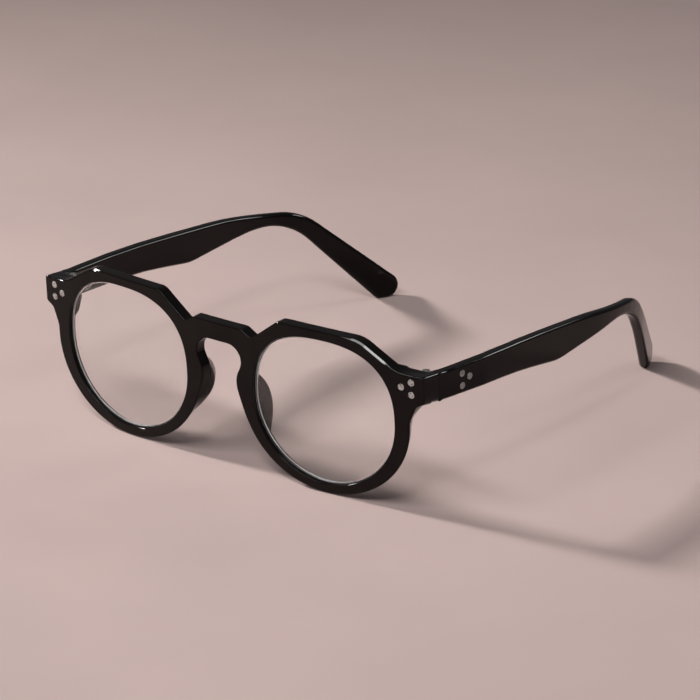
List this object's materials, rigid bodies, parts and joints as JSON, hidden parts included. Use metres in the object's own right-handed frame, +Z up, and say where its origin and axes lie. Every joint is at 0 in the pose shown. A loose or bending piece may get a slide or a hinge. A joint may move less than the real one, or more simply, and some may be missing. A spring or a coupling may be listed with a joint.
{
  "type": "round eyeglass frame",
  "caption": "Glossy black plastic eyeglass frame with round lenses, a keyhole bridge, riveted hinges and folding temples.",
  "frame": {"origin": "centre of the bounding box in X and Y, at the table in Z", "axes": "Z up; the front faces -Y and the open temples run to +Y; +X is the wearer's left"},
  "size_m": [0.1346, 0.1408, 0.0469],
  "materials": {
    "acetate": "polished black acetate",
    "nose_pad": "polished black acetate, slightly softer than the front",
    "lens": "clear, polished, with a bright bevel",
    "hinge_metal": "stamped nickel silver",
    "screw_metal": "turned steel",
    "rivet_metal": "flat polished rivet ends",
    "core_metal": "drawn wire"
  },
  "bodies": {
    "front": {"front_frame": "acetate", "lens_left": "lens", "lens_right": "lens", "nose_pad_left": "nose_pad", "nose_pad_right": "nose_pad", "front_hinge_left": "hinge_metal", "hinge_screw_left": "screw_metal", "front_rivets_left": "rivet_metal", "front_hinge_right": "hinge_metal", "hinge_screw_right": "screw_metal", "front_rivets_right": "rivet_metal"},
    "temple_left": {"temple_left": "acetate", "temple_core_left": "core_metal", "temple_hinge_left": "hinge_metal", "temple_rivets_left": "rivet_metal"},
    "temple_right": {"temple_right": "acetate", "temple_core_right": "core_metal", "temple_hinge_right": "hinge_metal", "temple_rivets_right": "rivet_metal"}
  },
  "joints": [
    {"name": "fold_left", "type": "hinge", "parent": "front", "child": "temple_left", "pos_m": [0.0617, -0.05873, 0.03577], "axis": [0, -0.0489, 0.9988], "range_deg": [0, 84]},
    {"name": "fold_right", "type": "hinge", "parent": "front", "child": "temple_right", "pos_m": [-0.0617, -0.05873, 0.03577], "axis": [0, 0.0489, -0.9988], "range_deg": [0, 72]}
  ]
}
